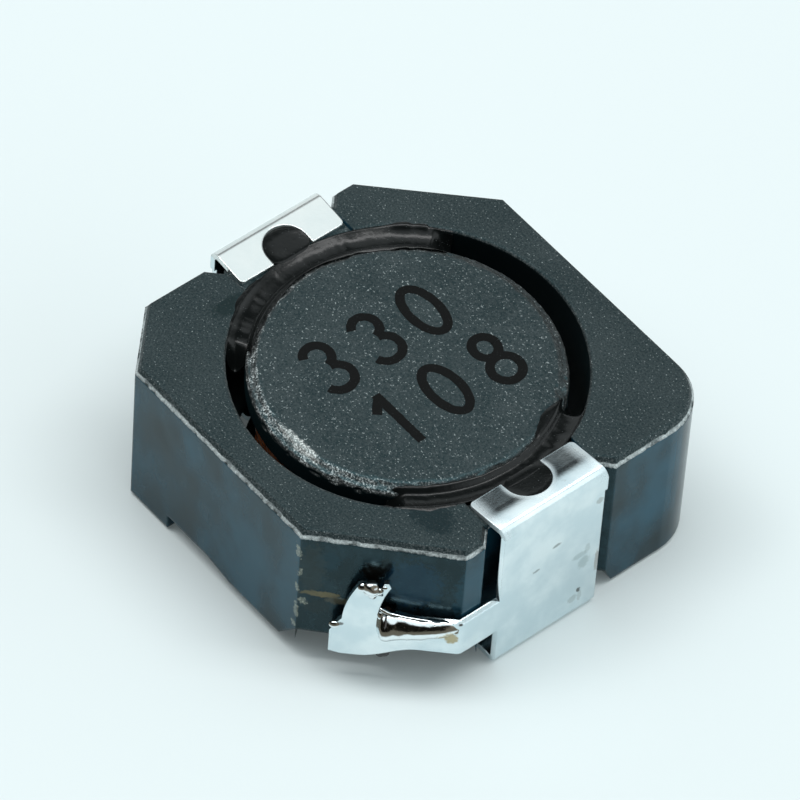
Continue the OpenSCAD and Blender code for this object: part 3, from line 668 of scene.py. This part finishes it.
def makeDrum():
    # the drum's outline turned about its axis; fine lumps and chips sink the upper rim inwards and down
    high, low, r = drumTop, drumLow[2], drumRadius
    windowLow, windowHigh = low + drum["flangeBottom"], high - drum["flangeTop"]
    foot = [(drum["centre"], low, 0), (r - 0.2, low, 0.05), (r, low + 0.19, 0.05), (r, windowLow, 0.03)]
    waist = [(drum["post"], windowLow, 0.05), (drum["post"], windowHigh, 0.05), (r, windowHigh, 0.03)]
    rim = [(r - inwards, high - down, bend) for inwards, down, bend in drum["rimSteps"]]
    outline = softened([*foot, *waist, *rim, (drum["centre"], high, 0)], 6)
    plain, rim = outline[:-drum["rimPoints"]], outline[-drum["rimPoints"]:]
    outline = np.concatenate([plain, spaced(rim[:-1], drum["rimGap"]), rim[-1:]])
    angle = np.arange(drum["sides"]) * 2 * np.pi / drum["sides"]
    radius, height = outline[:, :1], outline[:, 1:]
    points = np.stack([radius * np.cos(angle), radius * np.sin(angle), height + 0 * angle], -1)
    worn = ease(radius, r - 0.36, r - 0.16) * ease(height, high - 0.35, high - 0.2)
    rough = lumps(points, 0.07, 3) + 0.6 * lumps(points, 0.035, 4)
    chips = ease(lumps(points, 0.22, 5), 0.25, 0.6)
    sink = worn * (drum["roughRim"] * (1 + rough) + drum["chip"] * chips)
    out = np.stack([np.cos(angle), np.sin(angle), 0 * angle], -1)
    points = points - sink[..., None] * 0.7 * out - sink[..., None] * [0, 0, 0.7]
    makePiece("drumCore", [points], "drum", ["drum_core"])


# sizes in millimetres; each further stroke of a digit lies one layer higher, so that no two tops coincide
marking = {"stroke": 0.225, "sunk": 0.01, "thick": 0.006, "layer": 0.0006, "ragged": 0.010,
           # rows: plain numbers, x of their feet and y of each digit's middle
           "rows": [("330", -0.20, (-1.48, -0.09, 1.30)), ("108", 1.88, (-1.22, 0.22, 1.70))]}


def arc(cx, cy, rx, ry, start, end):
    angle = np.radians(np.linspace(start, end, 40))
    return np.stack([cx + rx * np.cos(angle), cy + ry * np.sin(angle)], -1)


def line(*corners):
    return spaced(np.array(corners, float), 0.05)


# middle lines of each digit's strokes: x across the digit, y up from its foot; the digits are 1.64 mm high
digits = {"0": [arc(0, 0.82, 0.37, 0.725, 0, 360)],
          "1": [line((0.08, 0), (0.08, 1.64)), line((0.10, 1.58), (-0.26, 1.18))],
          "3": [arc(0, 1.21, 0.32, 0.335, 160, -80), arc(0, 0.47, 0.38, 0.375, 80, -160)],
          "8": [arc(0, 1.22, 0.29, 0.325, 0, 360), arc(0, 0.47, 0.37, 0.375, 0, 360)]}


def makeMarking():
    # every stroke is a thin flat band; the rows read along +Y with their tops towards -X
    shells = []
    for text, foot, middles in marking["rows"]:
        for digit, middle in zip(text, middles):
            for order, stroke in enumerate(digits[digit]):
                path = np.stack([foot - stroke[:, 1], middle + stroke[:, 0]], -1)
                way = np.gradient(path, axis=0)
                side = np.stack([-way[:, 1], way[:, 0]], -1) / np.linalg.norm(way, axis=1)[:, None]
                wobble = [lumps(np.c_[path, 0 * path[:, :1] + k], 0.06, 7) for k in (0.0, 9.0)]
                half = [marking["stroke"] / 2 + marking["ragged"] * w for w in wobble]
                left, right = path + side * half[0][:, None], path - side * half[1][:, None]
                low, high = drumTop - marking["sunk"], drumTop + marking["thick"] + marking["layer"] * order
                section = ((left, low), (left, high), (right, high), (right, low))
                shells.append(np.stack([np.c_[p, np.full(len(p), z)] for p, z in section], 1))
    makePiece("marking", shells, "ink", smooth=False)


# millimetres and degrees: depth and thickness of the fillet, its lap over the drum's rim, the rim's drop, the
# least reach that counts as spread on the ring, the sag in the gap, and how far and deep the ends sink
epoxy = {"depth": 0.60, "film": 0.022, "lap": 0.12, "rimDrop": 0.12, "least": 0.02, "spread": 0.04,
         "sag": 0.08, "fade": 7, "endSink": 0.55,
         # first and last angle of the fillet; spots where it spread over the drum or the ring: middle angle,
         # half width in degrees, reach in millimetres
         "core_epoxy_rear": {"span": (126, 228), "onDrum": [(150, 30, 0.10), (205, 25, 0.08)],
                             "onRing": [(206, 14, 0.10), (141, 12, 0.05)]},
         "core_epoxy_front": {"span": (-47, 38), "onDrum": [(26, 16, 0.24), (-25, 25, 0.04)],
                              "onRing": [(-34, 14, 0.10), (30, 10, 0.04)]}}


def makeEpoxy(node, name):
    # a closed band swept round the gap: its section runs over the drum's rim, sags in the gap and ends on
    # the ring, then returns below; the sag is 4 p (1 - p), where p is the part of the way across to the power
    # 1.5, and towards both ends the surface sinks into the gap
    plan = epoxy[node]
    first, last = plan["span"]
    angle = np.linspace(first, last, 200)
    turn = np.radians(angle)
    onDrum = sum(reach * bell(angle, middle, width) for middle, width, reach in plan["onDrum"])
    onRing = sum(reach * bell(angle, middle, width) for middle, width, reach in plan["onRing"])
    ends = ease(angle, first, first + epoxy["fade"]) * (1 - ease(angle, last - epoxy["fade"], last))
    rimPoint = np.stack([np.cos(turn), np.sin(turn), 0 * turn], -1)
    ragged = lumps(rimPoint * 4, 0.35, 11) + 0.5 * lumps(rimPoint * 4, 0.12, 12)
    spreads = onRing > epoxy["least"]
    inner = drumRadius - epoxy["lap"] - (0.03 + onDrum) * ends + 0.03 * ragged
    outer = bore + 0.01 + (epoxy["spread"] * spreads + onRing) * ends + 0.04 * ragged * spreads
    across = np.linspace(0, 1, 26)
    radius = inner[:, None] + (outer - inner)[:, None] * across
    part = np.clip((radius - drumRadius + 0.15) / (bore - drumRadius + 0.16), 0, 1)
    gap = 4 * part ** 1.5 * (1 - part ** 1.5)
    drop, rise = epoxy["rimDrop"], ringTop - drumTop + epoxy["rimDrop"]
    crossed = np.clip((radius - drumRadius) / (bore - drumRadius), 0, 1)
    level = drumTop - drop * ease(radius, drumRadius - 0.16, drumRadius) + rise * crossed
    sunk = (epoxy["sag"] + 0.015 * ragged + epoxy["endSink"] * (1 - ends))[:, None] * gap
    edge = np.minimum(across, 1 - across) * (len(across) - 1)
    top = level - sunk + epoxy["film"] * ease(edge, 0, 5) - 0.012 * (1 - ease(edge, 0, 1.5))
    below = np.minimum(level, drumTop) - 0.03 - epoxy["depth"] * ease(gap, 0.3, 0.9)
    below = np.minimum(below, top - 0.02)
    out = np.stack([np.cos(turn), np.sin(turn)], -1)[:, None, :]
    upper = np.concatenate([radius[..., None] * out, top[..., None]], -1)
    lower = np.concatenate([radius[..., None] * out, below[..., None]], -1)[:, ::-1]
    shells = [np.concatenate([upper, lower], 1), notchDrop(node)]
    makePiece(name, shells, "epoxy", [node])


def notchDrop(node):
    # a drop that fills the half-round notch of a flap: a dish that follows the flap's tilt, with an edge that
    # climbs the notch's wall, on a straight skirt
    side = 1 if node == "core_epoxy_front" else -1
    centre = clip[node]
    grow = np.r_[np.linspace(0.04, 0.9, 14), 0.95, 0.985, 1.0][:, None]
    turn = np.linspace(0, 2 * np.pi, 96, endpoint=False)
    back = np.cos(turn) < 0
    x = centre + clip["notch"] * grow * np.where(back, 0.5 * np.cos(turn), np.cos(turn))
    y = clip["notch"] * grow * np.sign(np.sin(turn)) * np.abs(np.sin(turn)) ** np.where(back, 0.4, 1.0)
    slope = math.tan(math.radians(clip["tilt"]))
    flapTop = clipHigh[2] - slope * (clipHigh[0] - clip["fold"] - x)
    z = np.minimum(flapTop - clip["sink"] + 0.03 * grow ** 5, ringTop + 0.06)
    upper = np.stack([x, y, z], -1)
    skirt = np.stack([x[-1], y[-1], z[-1] * 0 + ringTop - 0.25], -1)
    floor = np.stack([centre + (x[-1] - centre) * 0.5, y[-1] * 0.5, skirt[:, 2]], -1)
    return np.concatenate([upper, [skirt, floor]]) * [side, side, 1]


def fromChamfer(n, u, z, side):
    # n runs out from the axis through the chamfer, u along it towards the side plate; side -1 is the rear
    n, u, z = np.broadcast_arrays(n, u, z)
    return np.stack([side * (n + u) / math.sqrt(2), side * (u - n) / math.sqrt(2), z], -1)


# millimetres: distance of the ear's face from the axis, and how deep beads and lumps are set into it
solder = {"face": 5.518, "beadSunk": 0.03, "lumpSunk": 0.02, "turns": 64,
          # along the chamfer: place, height, half height and half depth of the bead over the wire's end,
          # and of the thin ridge of flux and solder above it
          "beads": [[(-0.06, 2.00, 0.12, 0.10), (0.04, 1.98, 0.36, 0.34), (0.20, 1.96, 0.38, 0.37),
                     (0.40, 1.95, 0.36, 0.33), (0.80, 1.96, 0.31, 0.27), (1.20, 2.00, 0.27, 0.23),
                     (1.45, 2.03, 0.24, 0.19), (1.62, 2.05, 0.18, 0.11), (1.72, 2.05, 0.10, 0.05),
                     (1.76, 2.05, 0.02, 0.02)],
                    [(-0.02, 2.52, 0.02, 0.02), (0.05, 2.46, 0.06, 0.06), (0.25, 2.34, 0.06, 0.06),
                     (0.60, 2.26, 0.06, 0.05), (1.10, 2.24, 0.04, 0.04), (1.30, 2.22, 0.01, 0.01)]],
          # round lumps: along, up, half width, half height, half depth
          "lumps": [(-0.24, 3.22, 0.20, 0.19, 0.18), (-0.42, 3.22, 0.11, 0.12, 0.11),
                    (-0.20, 3.02, 0.12, 0.16, 0.09), (-0.06, 3.14, 0.11, 0.13, 0.10),
                    (-0.30, 3.06, 0.10, 0.10, 0.09), (0.06, 3.28, 0.07, 0.06, 0.06),
                    (-1.00, 1.80, 0.12, 0.10, 0.08), (0.02, 2.30, 0.08, 0.12, 0.09)]}


def makeSolder(node, name, side):
    # an uneven bead over the wire's end, a thin ridge above it, and small lumps in the fork and on the ear:
    # ellipses strung along the chamfer and ellipsoids, both swollen by random lumps
    phase = np.arange(solder["turns"]) * 2 * np.pi / solder["turns"]
    shells = []
    for bead in solder["beads"]:
        key = np.array(bead)
        u = np.linspace(key[0, 0], key[-1, 0], 120)
        height, halfUp, halfOut = (np.interp(u, key[:, 0], key[:, k]) for k in (1, 2, 3))
        blur = np.ones(7) / 7
        height, halfUp, halfOut = (np.convolve(np.pad(v, 3, mode="edge"), blur, "valid")
                                   for v in (height, halfUp, halfOut))
        centre = np.stack([0 * u + solder["face"] - solder["beadSunk"], u, height], -1)[:, None, :]
        reach = np.stack([halfOut[:, None] * np.cos(phase), 0 * u[:, None] + 0 * phase,
                          halfUp[:, None] * np.sin(phase)], -1)
        swell = 1 + 0.10 * lumps(centre + reach, 0.45, 21 + side) + 0.04 * lumps(centre + reach, 0.16, 23)
        shells.append(centre + reach * swell[..., None])
    polar = np.linspace(0.08, np.pi - 0.08, 20)[:, None]
    depth = solder["face"] - solder["lumpSunk"]
    for along, high, halfU, halfZ, halfN in solder["lumps"]:
        ball = np.stack([depth + halfN * np.sin(polar) * np.cos(phase),
                         along + halfU * np.cos(polar) + 0 * phase,
                         high + halfZ * np.sin(polar) * np.sin(phase)], -1)
        swell = 1 + 0.16 * lumps(ball, 0.14, 31)
        middle = np.array([depth, along, high])
        shells.append(middle + (ball - middle) * swell[..., None])
    shells = [fromChamfer(s[..., 0], s[..., 1], s[..., 2], side) for s in shells]
    makePiece(name, shells, "solder", [node])


makeDrum()
makeMarking()
print("drum and marking ready")
makeEpoxy("core_epoxy_front", "epoxyFront")
makeEpoxy("core_epoxy_rear", "epoxyRear")
print("epoxy ready")
makeSolder("solder_front", "solderFront", 1)
makeSolder("solder_rear", "solderRear", -1)
print("solder ready")

scene.view_settings.view_transform = "Standard"
